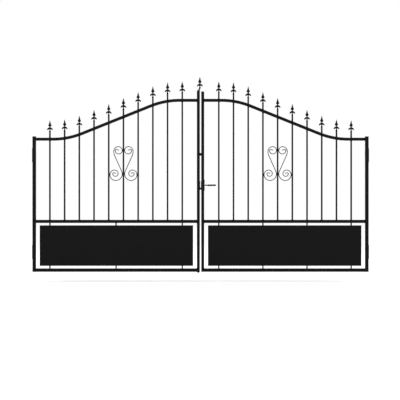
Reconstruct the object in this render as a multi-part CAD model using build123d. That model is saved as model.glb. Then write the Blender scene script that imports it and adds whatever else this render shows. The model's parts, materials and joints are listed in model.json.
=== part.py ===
from build123d import *
import math
import os

# Wrought iron driveway gate: two mirrored leaves of welded steel, each hung on two
# hinge brackets that bolt to the gateway's pillars. Lengths are in millimetres.
# The shapes are drawn with the leaf's middle plane at y = 0 and its underside at
# z = 0, and moved at the end so that the origin lies on the lower left bracket.
# +X runs from the left pillar to the right one, +Y into the drive, +Z up.

# ---- Driving dimensions: leaves -------------------------------------------------
leaf_width = 1693.0            # over the hinge stile and the closing stile
leaf_gap = 14.0                # between the two closing stiles
pillar_clearance = 8.0         # hinge stile to the face that the brackets bolt to

hinge_stile_size = 35.0        # square hollow section
closing_stile_size = 30.0      # square hollow section
top_rail_size = 30.0           # square hollow section
mid_rail_height = 32.0
bottom_rail_height = 35.0
rail_depth = 30.0
section_wall = 2.5
section_corner = 1.6 * section_wall    # outer corner of a cold-formed section

low_rail_height = 1342.0       # underside of leaf to top rail centre at the hinge side
high_rail_height = 1735.0      # the same at the closing side
rail_bend_low_x = 358.0        # corner of the low straight and the slope
rail_bend_high_x = 1337.0      # corner of the slope and the high straight
rail_bend_radius = 780.0
mid_rail_centre = 510.0

hinge_stile_rise = 25.0        # stile's end above the top rail's centre
left_closing_stile_rise = 97.0
right_closing_stile_rise = 86.0
cap_thickness = 3.0
plug_thickness = 3.0           # cover set into a stile's open foot
plug_clearance = 0.2

# ---- Driving dimensions: bars and spearheads ------------------------------------
bar_count = 10
bar_size = 16.0                # square solid bar
closing_bay_extra = 7.0        # the bay beside the closing stile is this much wider
bar_hole_clearance = 0.2       # each side, where a bar passes through the top rail
spear_rise = 191.0             # rail centre to the spear's tip

head_height = 116.0
collar_size = 18.0             # square
collar_height = 8.0
collar_taper = 3.0             # from the collar to the stem
collar_shoulder = 1.0          # collar's side to the foot of the taper
stem_radius = 6.0
bulb_height = 65.0             # middle of the bulb above the head's foot
bulb_radius = 16.5
bulb_half_height = 13.0
blade_root_radius = 10.2
blade_tip_radius = 0.8
blade_bulge = 0.3              # beyond a straight cone, halfway up the blade
wing_span = 57.0
wing_thickness = 11.0
wing_root_top = 46.0
wing_root_bottom = 24.0
wing_tip_top = 27.0
wing_tip_bottom = 17.0
wing_tip_width = 8.0
wing_tip_round = 3.0
wing_tip_slope = 1.0           # inner corner of the tip above its outer corner
wing_top_bulge = 2.5           # middle of the upper edge above the straight line
wing_bottom_bulge = 2.1        # the same for the lower edge

# ---- Driving dimensions: centre spear -------------------------------------------
centre_stem_radius = 8.0
centre_stem_start = 5.0        # from the closing stile's middle, towards the gap
centre_stem_end = 15.0
centre_stem_bend = 16.0        # radius of both bends of the stem

# ---- Driving dimensions: panel and its supports ---------------------------------
panel_side_gap = 38.0
panel_bottom_gap = 25.0
panel_top_gap = 23.5
panel_thickness = 3.0
support_size = 14.0
left_support_places = (1, 5.5, 10)     # counted in bars from the hinge side
right_support_places = (1, 4, 7, 10)

# ---- Driving dimensions: scrolls -------------------------------------------------
scroll_bar = 6                 # the bar that carries the scrolls, from the hinge side
scroll_thickness = 7.5
scroll_depth = 14.0
scroll_seat = 0.3              # gap to the bars, which the weld fills
scroll_waist_height = 990.0    # where the scrolls touch their own bar
scroll_slope = 24.2            # degrees from upright
scroll_straight = 171.0
scroll_upper_bend = 110.0
scroll_waist_bend = 67.0
# Each volute is a run of quarter turns, from the outermost one inwards, and a tail.
lower_volute_first = 66.0
lower_volute_third = 47.0
lower_volute_fourth = 36.0
lower_volute_fifth = 27.5
lower_volute_sixth = 27.0
lower_volute_eye = 8.0
upper_volute_first = 48.0
upper_volute_third = 36.0
upper_volute_fourth = 35.0
upper_volute_eye = 9.0
scroll_tail_radius = 60.0
lower_tail_turn = 25.0         # degrees that the tail turns, at that radius
upper_tail_turn = 30.0

# ---- Driving dimensions: hinges --------------------------------------------------
lower_hinge_height = 200.0
upper_hinge_height = 1180.0
pin_radius = 8.0
pin_clearance = 0.05
pin_head_radius = 12.0
pin_head_height = 6.0
knuckle_radius = 15.0
knuckle_height = 60.0
knuckle_end_gap = 0.5
knuckle_web = 12.0
knuckle_offset = 22.0          # hinge stile's rear face to the pin's axis
lug_thickness = 8.0
bracket_plate_thickness = 6.0
bracket_plate_width = 90.0
bracket_plate_height = 140.0
bracket_rear_gap = 5.0         # plate's front edge behind the hinge stile
bracket_hole_radius = 6.5
bracket_hole_spacing_y = 50.0
bracket_hole_spacing_z = 108.0

# ---- Driving dimensions: lock and lever ------------------------------------------
lever_height = 876.0
keyhole_drop = 34.0
escutcheon_height = 110.0
escutcheon_thickness = 4.0
escutcheon_lap = 5.0           # beyond the closing stile, away from the gap
escutcheon_edge_gap = 1.0      # set back from the stile's face in the gap
escutcheon_corner = 5.0
escutcheon_waist_depth = 2.0
escutcheon_waist_height = 50.0
lock_case_width = 2.5          # beyond the closing stile, behind the escutcheons
faceplate_height = 92.0
faceplate_width = 24.0
faceplate_thickness = 3.0
faceplate_drop = 4.0           # middle of the faceplate below the lever's axis
key_cylinder_radius = 5.0
key_cylinder_seat = 0.3
key_cylinder_proud = 2.0
key_cylinder_gap = 5.0         # to the latch bolt
lever_boss_radius = 9.0
lever_boss_end_gap = 0.5
lever_boss_round = 3.0
lever_boss_clearance = 0.05
lever_standoff = 40.0          # escutcheon to the grip's axis
lever_reach = 135.0
lever_neck_radius = 5.5
lever_neck_length = 44.0
lever_groove_radius = 4.5      # between the neck and the grip
lever_groove_length = 3.0
lever_grip_radius = 8.0        # at the crest of each swelling
lever_waist_radius = 7.0       # between the swellings
lever_swellings = 3
lever_end_radius = 7.5
spindle_size = 8.0
spindle_play = 2.0             # round the spindle's corners, inside the stile
latch_height = 18.0
latch_depth = 14.0
latch_drop = keyhole_drop      # latch bolt's axis below the lever's axis
latch_reach = 8.0              # past the gap, into the other closing stile
latch_tail = 10.0              # inside its own closing stile
latch_clearance = 0.5
latch_free = 5.0               # drawn bolt to the keep

# ---- Driving dimensions: closing stop --------------------------------------------
stop_height = 27.0
stop_middle = 1188.0
stop_thickness = 5.0
stop_lap = 14.0                # over each closing stile
stop_clearance = 5.0

# ---- Driving dimensions: how far things turn, in degrees -------------------------
leaf_swing = 90.0
lever_turn = 40.0

# ---- Driving dimensions: drop bolt -----------------------------------------------
drop_rod_radius = 11.0
drop_rod_gap = 6.0             # rod to the closing stile's rear face
drop_rod_clearance = 0.05
drop_rod_below = 11.0          # tip below the leaf when the bolt is raised
drop_rod_top = 440.0
drop_rod_handle = 70.0
drop_rod_bend = 20.0
drop_guide_height = 30.0
drop_guide_wall = 4.0
drop_guide_foot = 75.0         # the lower guide
drop_guide_spare = 10.0        # upper guide to the handle's bend when the bolt is down
drop_rod_travel = 90.0

# ---- Derived places --------------------------------------------------------------
hinge_inner = hinge_stile_size
closing_inner = leaf_width - closing_stile_size
inner_width = closing_inner - hinge_inner
bar_gap = (inner_width - bar_count * bar_size - closing_bay_extra) / (bar_count + 1)
bar_pitch = bar_gap + bar_size
first_bar = hinge_inner + bar_gap + bar_size / 2
mid_rail_top = mid_rail_centre + mid_rail_height / 2
mid_rail_bottom = mid_rail_centre - mid_rail_height / 2
rail_slope = math.atan2(high_rail_height - low_rail_height, rail_bend_high_x - rail_bend_low_x)
hinge_stile_top = low_rail_height + hinge_stile_rise
left_closing_stile_top = high_rail_height + left_closing_stile_rise
right_closing_stile_top = high_rail_height + right_closing_stile_rise

closing_x = leaf_width - closing_stile_size / 2     # middle of the closing stile
closing_face = closing_stile_size / 2               # its front and rear faces
pin_x = hinge_stile_size / 2
pin_y = hinge_stile_size / 2 + knuckle_offset
plate_back_x = -pillar_clearance
plate_inner_x = plate_back_x + bracket_plate_thickness
plate_front_y = hinge_stile_size / 2 + bracket_rear_gap
plate_middle_y = plate_front_y + bracket_plate_width / 2

opening_width = 2 * (leaf_width + pillar_clearance) + leaf_gap
drop_rod_y = closing_face + drop_rod_gap + drop_rod_radius
drop_guide_top = drop_rod_top - drop_rod_bend - drop_rod_travel - drop_guide_spare
drop_guide_places = (drop_guide_foot, drop_guide_top - drop_guide_height)
faceplate_middle = lever_height - faceplate_drop
latch_middle = lever_height - latch_drop
spindle_reach = closing_face + escutcheon_thickness + lever_standoff / 2
latch_travel = latch_reach + faceplate_thickness + latch_free


def bar_x(place):
    """Middle of a bar, counted from the hinge side; halves lie between bars."""
    return first_bar + (place - 1) * bar_pitch


def rail_height(x):
    """Height of the top rail's centre line at x."""
    tangent = rail_bend_radius * math.tan(rail_slope / 2)
    run = tangent * math.cos(rail_slope)
    low_centre = low_rail_height + rail_bend_radius
    high_centre = high_rail_height - rail_bend_radius
    if x <= rail_bend_low_x - tangent:
        return low_rail_height
    if x >= rail_bend_high_x + tangent:
        return high_rail_height
    if x < rail_bend_low_x + run:
        across = x - (rail_bend_low_x - tangent)
        return low_centre - math.sqrt(rail_bend_radius**2 - across**2)
    if x > rail_bend_high_x - run:
        across = rail_bend_high_x + tangent - x
        return high_centre + math.sqrt(rail_bend_radius**2 - across**2)
    return low_rail_height + (x - rail_bend_low_x) * math.tan(rail_slope)


def block(x_range, y_range, z_range):
    """A box between two corners."""
    size = [high - low for low, high in (x_range, y_range, z_range)]
    middle = [(high + low) / 2 for low, high in (x_range, y_range, z_range)]
    return Pos(*middle) * Box(*size)


def rod_z(x, y, z_low, z_high, radius):
    """An upright round rod."""
    return Pos(x, y, (z_low + z_high) / 2) * Cylinder(radius, z_high - z_low)


def rod_y(x, z, y_low, y_high, radius):
    """A round rod along Y."""
    place = Pos(x, (y_low + y_high) / 2, z) * Rot(90, 0, 0)
    return place * Cylinder(radius, y_high - y_low)


def section_outline(width, height, inset=0.0):
    """A section's rounded outline, or its bore where the inset is its wall."""
    return RectangleRounded(width - 2 * inset, height - 2 * inset, section_corner - inset)


def hollow_section(width, height):
    """The cross-section of a box section."""
    return section_outline(width, height) - section_outline(width, height, section_wall)


def upright_tube(x, size, z_high):
    """A square hollow stile standing on the leaf's underside."""
    return Pos(x, 0, 0) * extrude(hollow_section(size, size), z_high)


def flat_rail(z_middle, height):
    """A level hollow rail between the two stiles."""
    end = Plane(origin=(hinge_inner, 0, z_middle), x_dir=(0, 1, 0), z_dir=(1, 0, 0))
    return extrude(end * hollow_section(rail_depth, height), inner_width)


# ---- Leaf frame ------------------------------------------------------------------
def top_rail():
    """The hollow top rail, bent twice, with a square hole for each bar."""
    corners = [
        (hinge_inner, 0, low_rail_height),
        (rail_bend_low_x, 0, low_rail_height),
        (rail_bend_high_x, 0, high_rail_height),
        (closing_inner, 0, high_rail_height),
    ]
    path = FilletPolyline(*corners, radius=rail_bend_radius)
    start = Plane(origin=corners[0], x_dir=(0, 1, 0), z_dir=(1, 0, 0))
    rail = sweep(start * section_outline(top_rail_size, top_rail_size), path)
    rail -= sweep(start * section_outline(top_rail_size, top_rail_size, section_wall), path)
    hole = bar_size + 2 * bar_hole_clearance
    for place in range(1, bar_count + 1):
        height = rail_height(bar_x(place))
        rail -= Pos(bar_x(place), 0, height) * Box(hole, hole, 3 * top_rail_size)
    return rail


def bars():
    """Square bars from the mid rail, through the top rail, to the spearheads."""
    half = bar_size / 2
    made = []
    for place in range(1, bar_count + 1):
        x = bar_x(place)
        top = rail_height(x) + spear_rise - head_height
        made.append(block((x - half, x + half), (-half, half), (mid_rail_top, top)))
    return made


def wing(side):
    """Half of the guard under the bulb: a barb that curves down; side is -1 or 1."""
    tip_x = wing_span / 2
    inner_x = tip_x - wing_tip_width
    inner_z = wing_tip_bottom + wing_tip_slope
    upper_middle = (wing_root_top + wing_tip_top) / 2 + wing_top_bulge
    lower_middle = (wing_root_bottom + wing_tip_bottom) / 2 + wing_bottom_bulge
    outline = [
        ThreePointArc((0, wing_root_top), (side * 2 / 3 * tip_x, upper_middle), (side * tip_x, wing_tip_top)),
        ThreePointArc(
            (side * tip_x, wing_tip_top),
            (side * (tip_x - wing_tip_round), wing_tip_bottom),
            (side * inner_x, inner_z),
        ),
        ThreePointArc((side * inner_x, inner_z), (side * tip_x / 2, lower_middle), (0, wing_root_bottom)),
        Line((0, wing_root_bottom), (0, wing_root_top)),
    ]
    face = make_face(Plane.XZ * Curve(outline))
    return extrude(face, wing_thickness / 2, both=True)


def spearhead():
    """A cast spearhead on its foot: square collar, stem, winged guard, bulb and blade."""
    taper_radius = collar_size / 2 - collar_shoulder
    blade_foot = bulb_height + bulb_half_height
    blade_middle = ((blade_root_radius + blade_tip_radius) / 2 + blade_bulge, (blade_foot + head_height) / 2)
    foot = Polyline(
        (0, 0),
        (taper_radius, 0),
        (taper_radius, collar_height),
        (stem_radius, collar_height + collar_taper),
        (stem_radius, bulb_height - bulb_half_height),
    )
    bulb = ThreePointArc(
        (stem_radius, bulb_height - bulb_half_height),
        (bulb_radius, bulb_height),
        (blade_root_radius, blade_foot),
    )
    blade = ThreePointArc((blade_root_radius, blade_foot), blade_middle, (blade_tip_radius, head_height))
    axis = Polyline((blade_tip_radius, head_height), (0, head_height), (0, 0))
    profile = make_face(Plane.XZ * (foot + bulb + blade + axis))
    collar = Pos(0, 0, collar_height / 2) * Box(collar_size, collar_size, collar_height)
    return revolve(profile, Axis.Z) + collar + wing(-1) + wing(1)


def spearheads():
    """One head on every bar."""
    head = spearhead()
    made = []
    for place in range(1, bar_count + 1):
        foot = rail_height(bar_x(place)) + spear_rise - head_height
        made.append(Pos(bar_x(place), 0, foot) * head)
    return made


def stile_cap(x, size, z):
    """A welded cover on a stile's open top."""
    return Pos(x, 0, z) * extrude(section_outline(size, size), cap_thickness)


def foot_plug(x, size):
    """A cover set flush into a stile's open foot."""
    outline = section_outline(size, size, section_wall + plug_clearance)
    return Pos(x, 0, 0) * extrude(outline, plug_thickness)


def panel():
    """The flat steel sheet in the lower bay, welded to the front of its supports."""
    front = -support_size / 2 - panel_thickness
    return block(
        (hinge_inner + panel_side_gap, closing_inner - panel_side_gap),
        (front, front + panel_thickness),
        (bottom_rail_height + panel_bottom_gap, mid_rail_bottom - panel_top_gap),
    )


def panel_supports(places):
    """Upright bars behind the panel, from the bottom rail to the mid rail."""
    half = support_size / 2
    upright = (bottom_rail_height, mid_rail_bottom)
    return [block((bar_x(p) - half, bar_x(p) + half), (-half, half), upright) for p in places]


# ---- Scrolls ---------------------------------------------------------------------
def walk(start, heading, moves, offset):
    """Edges of a path's offset line, to its left, and the line's end point.

    A move is (radius, angle): a left turn has a positive angle and a right turn a
    negative one, in degrees. A radius of None makes the second value a straight run.
    """
    edges = []
    x, z = start
    for radius, amount in moves:
        facing = math.radians(heading)
        left = (-math.sin(facing), math.cos(facing))
        begin = (x + offset * left[0], z + offset * left[1])
        if radius is None:
            x, z = x + amount * math.cos(facing), z + amount * math.sin(facing)
            edges.append(Line(begin, (x + offset * left[0], z + offset * left[1])))
            continue
        side = math.copysign(1, amount)
        centre = (x + side * radius * left[0], z + side * radius * left[1])
        line_radius = radius - side * offset
        points = [begin]
        for share in (0.5, 1):
            turned = math.radians(heading + share * amount)
            out = (side * math.sin(turned), -side * math.cos(turned))
            points.append((centre[0] + line_radius * out[0], centre[1] + line_radius * out[1]))
        edges.append(ThreePointArc(*points))
        x, z = centre[0] + radius * out[0], centre[1] + radius * out[1]
        heading += amount
    return edges, points[-1]


def scroll_outline():
    """One scroll's edges, right of its bar, with the bar's axis at x = 0."""
    waist_x = bar_size / 2 + scroll_seat + scroll_thickness / 2
    reach = bar_pitch - 2 * waist_x
    lean = math.radians(scroll_slope)
    bend_width = (scroll_waist_bend + scroll_upper_bend) * (1 - math.cos(lean))
    crown_reach = bend_width + scroll_straight * math.sin(lean)
    lower_radii = (
        lower_volute_first,
        reach - lower_volute_first,
        lower_volute_third,
        lower_volute_fourth,
        lower_volute_fifth,
        lower_volute_sixth,
        lower_volute_eye,
    )
    upper_radii = (
        upper_volute_first,
        crown_reach - upper_volute_first,
        upper_volute_third,
        upper_volute_fourth,
        upper_volute_eye,
    )
    down = [(radius, 90) for radius in lower_radii] + [(scroll_tail_radius, lower_tail_turn)]
    up = [(scroll_waist_bend, -scroll_slope), (None, scroll_straight)]
    up += [(scroll_upper_bend, scroll_slope)]
    up += [(radius, 90) for radius in upper_radii] + [(scroll_tail_radius, upper_tail_turn)]
    waist = (waist_x, scroll_waist_height)
    half = scroll_thickness / 2
    edges = []
    for heading, moves in ((-90, down), (90, up)):
        left_edges, left_end = walk(waist, heading, moves, half)
        right_edges, right_end = walk(waist, heading, moves, -half)
        edges += [*left_edges, *right_edges, Line(left_end, right_end)]
    return edges


def scrolls():
    """Two mirrored scrolls, one on each side of their bar."""
    face = make_face(Plane.XZ * Curve(scroll_outline()))
    one = extrude(face, scroll_depth / 2, both=True)
    other = mirror(one, Plane.YZ)
    return [Pos(bar_x(scroll_bar), 0, 0) * each for each in (one, other)]


# ---- Hinges ----------------------------------------------------------------------
def hinge_knuckle(z):
    """A round eye on a web, welded to the hinge stile's rear face."""
    low, high = z - knuckle_height / 2, z + knuckle_height / 2
    half = knuckle_web / 2
    web = block((pin_x - half, pin_x + half), (hinge_stile_size / 2, pin_y), (low, high))
    eye = rod_z(pin_x, pin_y, low, high, knuckle_radius)
    return eye + web - rod_z(pin_x, pin_y, low, high, pin_radius + pin_clearance)


def hinge_bracket(z):
    """A bolted plate with two lugs that hold the hinge pin."""
    plate = block(
        (plate_back_x, plate_inner_x),
        (plate_front_y, plate_front_y + bracket_plate_width),
        (z - bracket_plate_height / 2, z + bracket_plate_height / 2),
    )
    lug_foot = knuckle_height / 2 + knuckle_end_gap
    for side in (-1, 1):
        near, far = z + side * lug_foot, z + side * (lug_foot + lug_thickness)
        low, high = min(near, far), max(near, far)
        arm = (pin_y - knuckle_radius, pin_y + knuckle_radius)
        plate += block((plate_inner_x, pin_x), arm, (low, high))
        plate += rod_z(pin_x, pin_y, low, high, knuckle_radius)
        plate -= rod_z(pin_x, pin_y, low, high, pin_radius + pin_clearance)
    for side_y in (-1, 1):
        for side_z in (-1, 1):
            hole_y = plate_middle_y + side_y * bracket_hole_spacing_y / 2
            hole_z = z + side_z * bracket_hole_spacing_z / 2
            place = Pos(plate_back_x, hole_y, hole_z) * Rot(0, 90, 0)
            plate -= place * Cylinder(bracket_hole_radius, 4 * bracket_plate_thickness)
    return plate


def hinge_pin(z):
    """A headed pin through the lugs and the knuckle."""
    half = knuckle_height / 2 + knuckle_end_gap + lug_thickness
    shank = rod_z(pin_x, pin_y, z - half, z + half, pin_radius)
    head = rod_z(pin_x, pin_y, z + half, z + half + pin_head_height, pin_head_radius)
    foot = rod_z(pin_x, pin_y, z - half - pin_head_height, z - half, pin_head_radius)
    return shank + head + foot


# ---- Centre spear and closing stop, on the left leaf --------------------------------
def centre_spear():
    """The tall spear: a cranked stem that rises from the closing stile's cap."""
    offset = centre_stem_end - centre_stem_start
    turn = math.acos(1 - offset / (2 * centre_stem_bend))
    height = 2 * centre_stem_bend * math.sin(turn)
    x = closing_x + centre_stem_start
    foot = left_closing_stile_top + cap_thickness
    first_mid = (
        x + centre_stem_bend * (1 - math.cos(turn / 2)),
        0,
        foot + centre_stem_bend * math.sin(turn / 2),
    )
    middle = (x + offset / 2, 0, foot + height / 2)
    second_mid = (2 * middle[0] - first_mid[0], 0, 2 * middle[2] - first_mid[2])
    end = (x + offset, 0, foot + height)
    path = Wire([
        ThreePointArc((x, 0, foot), first_mid, middle),
        ThreePointArc(middle, second_mid, end),
    ])
    stem = sweep(Plane(origin=(x, 0, foot)) * Circle(centre_stem_radius), path)
    return stem + Pos(*end) * spearhead()


def closing_stop():
    """A welded stop that laps over the front of both closing stiles."""
    low, high = stop_middle - stop_height / 2, stop_middle + stop_height / 2
    edge = leaf_width
    front = -closing_face
    seat = block((edge - stop_lap, edge), (front - stop_clearance, front), (low, high))
    lap = block(
        (edge - stop_lap, edge + leaf_gap + stop_lap),
        (front - stop_clearance - stop_thickness, front - stop_clearance),
        (low, high),
    )
    return seat + lap


def latch_slot(x_range):
    """The passage that the latch bolt needs."""
    half_y = latch_depth / 2 + latch_clearance
    half_z = latch_height / 2 + latch_clearance
    return block(x_range, (-half_y, half_y), (latch_middle - half_z, latch_middle + half_z))


def gap_plate():
    """A plate on a closing stile's face in the gap, with the latch bolt's opening.

    The left stile's is the keep, and the right stile's is the lock's own face.
    """
    half = faceplate_width / 2
    wide = (leaf_width, leaf_width + faceplate_thickness)
    tall = (faceplate_middle - faceplate_height / 2, faceplate_middle + faceplate_height / 2)
    return block(wide, (-half, half), tall) - latch_slot(wide)


# ---- Drop bolt, behind the left closing stile -------------------------------------
def drop_bolt_guides():
    """Two guides welded to the closing stile's rear face."""
    made = []
    outer = drop_rod_radius + drop_guide_wall
    for z in drop_guide_places:
        low, high = z, z + drop_guide_height
        guide = block((closing_x - outer, closing_x + outer), (closing_face, drop_rod_y), (low, high))
        guide += rod_z(closing_x, drop_rod_y, low, high, outer)
        guide -= block((closing_x - outer, closing_x + outer), (-outer, closing_face), (low, high))
        guide -= rod_z(closing_x, drop_rod_y, low, high, drop_rod_radius + drop_rod_clearance)
        made.append(guide)
    return made


def drop_bolt_rod():
    """A round rod with its top bent back as a handle."""
    path = FilletPolyline(
        (closing_x, drop_rod_y, -drop_rod_below),
        (closing_x, drop_rod_y, drop_rod_top),
        (closing_x, drop_rod_y + drop_rod_handle, drop_rod_top),
        radius=drop_rod_bend,
    )
    start = Plane(origin=path @ 0, z_dir=(0, 0, 1))
    return sweep(start * Circle(drop_rod_radius), path)


# ---- Lock and lever, on the right leaf, drawn as a left leaf and mirrored ------------
def lock_case():
    """The part of the lock that stands out of the stile, away from the gap."""
    tall = (lever_height - escutcheon_height / 2, lever_height + escutcheon_height / 2)
    return block((closing_inner - lock_case_width, closing_inner), (-closing_face, closing_face), tall)


def escutcheon(side):
    """A waisted cover plate over the stile and lock case; side is -1 front or 1 rear."""
    near, far = side * closing_face, side * (closing_face + escutcheon_thickness)
    deep = (min(near, far), max(near, far))
    wide = (closing_inner - escutcheon_lap, leaf_width - escutcheon_edge_gap)
    tall = (lever_height - escutcheon_height / 2, lever_height + escutcheon_height / 2)
    plate = block(wide, deep, tall)
    waist = (escutcheon_waist_height**2 / 4 + escutcheon_waist_depth**2) / (2 * escutcheon_waist_depth)
    for edge, outward in zip(wide, (-1, 1)):
        centre = edge + outward * (waist - escutcheon_waist_depth)
        plate -= rod_y(centre, lever_height, *deep, waist)
    corners = plate.edges().filter_by(Axis.Y).group_by(Axis.Z)
    plate = fillet([*corners[0], *corners[-1]], escutcheon_corner)
    plate -= rod_y(closing_x, lever_height, *deep, lever_boss_radius + lever_boss_clearance)
    hole = key_cylinder_radius + key_cylinder_seat
    plate -= rod_y(closing_x, lever_height - keyhole_drop, *deep, hole)
    return plate


def key_cylinders():
    """The two round key cylinders, one in each cover, with the latch bolt between."""
    near = latch_depth / 2 + key_cylinder_gap
    far = closing_face + escutcheon_thickness + key_cylinder_proud
    z = lever_height - keyhole_drop
    return [rod_y(closing_x, z, *deep, key_cylinder_radius) for deep in ((-far, -near), (near, far))]


def lever_grip():
    """The turned grip along +X: neck, groove, swellings and a round end."""
    grip_start = lever_neck_length + lever_groove_length
    end_middle = lever_reach - lever_end_radius
    grip_end = end_middle - math.sqrt(lever_end_radius**2 - lever_waist_radius**2)
    swelling = (grip_end - grip_start) / lever_swellings
    neck = Polyline(
        (0, 0),
        (0, lever_neck_radius),
        (lever_neck_length, lever_neck_radius),
        (lever_neck_length, lever_groove_radius),
        (grip_start, lever_groove_radius),
        (grip_start, lever_waist_radius),
    )
    profile = [neck]
    for count in range(lever_swellings):
        foot = grip_start + count * swelling
        profile.append(
            ThreePointArc(
                (foot, lever_waist_radius),
                (foot + swelling / 2, lever_grip_radius),
                (foot + swelling, lever_waist_radius),
            )
        )
    profile.append(
        ThreePointArc(
            (grip_end, lever_waist_radius),
            (end_middle, lever_end_radius),
            (lever_reach, 0),
        )
    )
    profile.append(Line((lever_reach, 0), (0, 0)))
    return revolve(make_face(Curve(profile)), Axis.X)


def lever():
    """The front lever handle. Its grip points away from the gap."""
    axis_y = -closing_face - escutcheon_thickness - lever_standoff
    deep = (axis_y - lever_boss_radius, -closing_face - lever_boss_end_gap)
    boss = rod_y(closing_x, lever_height, *deep, lever_boss_radius)
    boss = fillet(boss.edges().sort_by(Axis.Y)[0], lever_boss_round)
    handle = boss + Pos(closing_x, axis_y, lever_height) * Rot(0, 0, 180) * lever_grip()
    half = spindle_size / 2
    socket = block(
        (closing_x - half, closing_x + half),
        (-spindle_reach, -closing_face),
        (lever_height - half, lever_height + half),
    )
    return handle - socket


def lever_spindle():
    """The square spindle that joins both levers."""
    half = spindle_size / 2
    return block(
        (closing_x - half, closing_x + half),
        (-spindle_reach, spindle_reach),
        (lever_height - half, lever_height + half),
    )


def latch_bolt():
    """The spring-loaded bolt, drawn out into the keep."""
    half_y, half_z = latch_depth / 2, latch_height / 2
    return block(
        (leaf_width - latch_tail, leaf_width + leaf_gap + latch_reach),
        (-half_y, half_y),
        (latch_middle - half_z, latch_middle + half_z),
    )


def closing_stile(z_high, latch_side):
    """The closing stile, with its passages for the latch bolt and the lever."""
    stile = upright_tube(closing_x, closing_stile_size, z_high)
    stile -= latch_slot((closing_x, leaf_width))
    if latch_side:
        deep = (-closing_face, closing_face)
        passage = spindle_size * math.sqrt(0.5) + spindle_play
        stile -= rod_y(closing_x, lever_height, *deep, passage)
        hole = key_cylinder_radius + key_cylinder_seat
        stile -= rod_y(closing_x, lever_height - keyhole_drop, *deep, hole)
    return stile


# ---- Assembly --------------------------------------------------------------------
def leaf_nodes(side, closing_top, support_places, latch_side):
    """The nodes that both leaves have."""
    hinge_heights = (lower_hinge_height, upper_hinge_height)
    caps = [
        stile_cap(pin_x, hinge_stile_size, hinge_stile_top),
        stile_cap(closing_x, closing_stile_size, closing_top),
        foot_plug(pin_x, hinge_stile_size),
        foot_plug(closing_x, closing_stile_size),
    ]
    return {
        f"{side}_hinge_stile": upright_tube(pin_x, hinge_stile_size, hinge_stile_top),
        f"{side}_closing_stile": closing_stile(closing_top, latch_side),
        f"{side}_top_rail": top_rail(),
        f"{side}_mid_rail": flat_rail(mid_rail_centre, mid_rail_height),
        f"{side}_bottom_rail": flat_rail(bottom_rail_height / 2, bottom_rail_height),
        f"{side}_bars": bars(),
        f"{side}_spearheads": spearheads(),
        f"{side}_panel": panel(),
        f"{side}_panel_supports": panel_supports(support_places),
        f"{side}_scrolls": scrolls(),
        f"{side}_stile_caps": caps,
        f"{side}_hinge_knuckles": [hinge_knuckle(z) for z in hinge_heights],
        f"{side}_hinge_pins": [hinge_pin(z) for z in hinge_heights],
        f"{side}_lower_hinge_bracket": hinge_bracket(lower_hinge_height),
        f"{side}_upper_hinge_bracket": hinge_bracket(upper_hinge_height),
    }


def gate_nodes():
    """Every node, in the frame whose origin lies on the lower left bracket."""
    left = leaf_nodes("left", left_closing_stile_top, left_support_places, False)
    left["centre_spear"] = centre_spear()
    left["closing_stop"] = closing_stop()
    left["strike_plate"] = gap_plate()
    left["drop_bolt_guides"] = drop_bolt_guides()
    left["drop_bolt_rod"] = drop_bolt_rod()
    right = leaf_nodes("right", right_closing_stile_top, right_support_places, True)
    right["lock_case"] = lock_case()
    right["front_escutcheon"] = escutcheon(-1)
    right["rear_escutcheon"] = escutcheon(1)
    right["lock_faceplate"] = gap_plate()
    right["key_cylinders"] = key_cylinders()
    right["front_lever"] = lever()
    right["rear_lever"] = mirror(lever(), Plane.XZ)
    right["lever_spindle"] = lever_spindle()
    right["latch_bolt"] = latch_bolt()

    origin = Pos(pillar_clearance, -plate_middle_y, -lower_hinge_height)
    across = Plane.YZ.offset(opening_width / 2 - pillar_clearance)
    nodes = {}
    for name, shape in (left | right).items():
        solids = shape if isinstance(shape, list) else [shape]
        if name in right:
            solids = [mirror(solid, across) for solid in solids]
        placed = [origin * solid for solid in solids]
        nodes[name] = placed[0] if len(placed) == 1 else Compound(children=placed)
    return nodes


os.makedirs("parts", exist_ok=True)
for node_name, node_shape in gate_nodes().items():
    export_step(node_shape, f"parts/{node_name}.step")
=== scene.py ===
"""Looks of the driveway gate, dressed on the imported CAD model. Lengths are in metres.

Row frame: +X from the left pillar to the right one, +Y into the drive, +Z up.
The CAD nodes get their finishes and broken edges. Weld beads, screws, key slots, the rings behind
the levers and the cast spearheads are made here.
"""

import functools
import json
import math
import random

import bmesh
import bpy
from mathutils import Matrix, Vector
from mathutils.bvhtree import BVHTree


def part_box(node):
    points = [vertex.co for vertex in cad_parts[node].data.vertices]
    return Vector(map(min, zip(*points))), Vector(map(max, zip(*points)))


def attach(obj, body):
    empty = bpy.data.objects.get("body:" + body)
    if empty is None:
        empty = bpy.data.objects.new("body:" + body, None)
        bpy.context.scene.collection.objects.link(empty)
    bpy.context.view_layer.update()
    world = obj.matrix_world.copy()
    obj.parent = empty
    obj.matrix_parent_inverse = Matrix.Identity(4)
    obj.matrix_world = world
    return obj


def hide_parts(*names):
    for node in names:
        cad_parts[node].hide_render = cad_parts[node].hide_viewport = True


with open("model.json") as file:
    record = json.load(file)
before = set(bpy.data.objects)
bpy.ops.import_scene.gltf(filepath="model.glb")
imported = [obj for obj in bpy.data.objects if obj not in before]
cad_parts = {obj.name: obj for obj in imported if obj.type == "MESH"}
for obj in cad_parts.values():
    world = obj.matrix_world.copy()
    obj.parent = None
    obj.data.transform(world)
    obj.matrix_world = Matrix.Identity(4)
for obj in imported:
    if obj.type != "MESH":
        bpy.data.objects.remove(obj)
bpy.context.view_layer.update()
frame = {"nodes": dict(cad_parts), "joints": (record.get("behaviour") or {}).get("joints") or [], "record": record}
nodes = frame["nodes"]

MM = 0.001
SEED = 7
draw = random.Random(SEED)      # for what differs from one weld bead to the next
X, Y, Z = Vector((1, 0, 0)), Vector((0, 1, 0)), Vector((0, 0, 1))
SIDES = ("left", "right")

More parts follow.
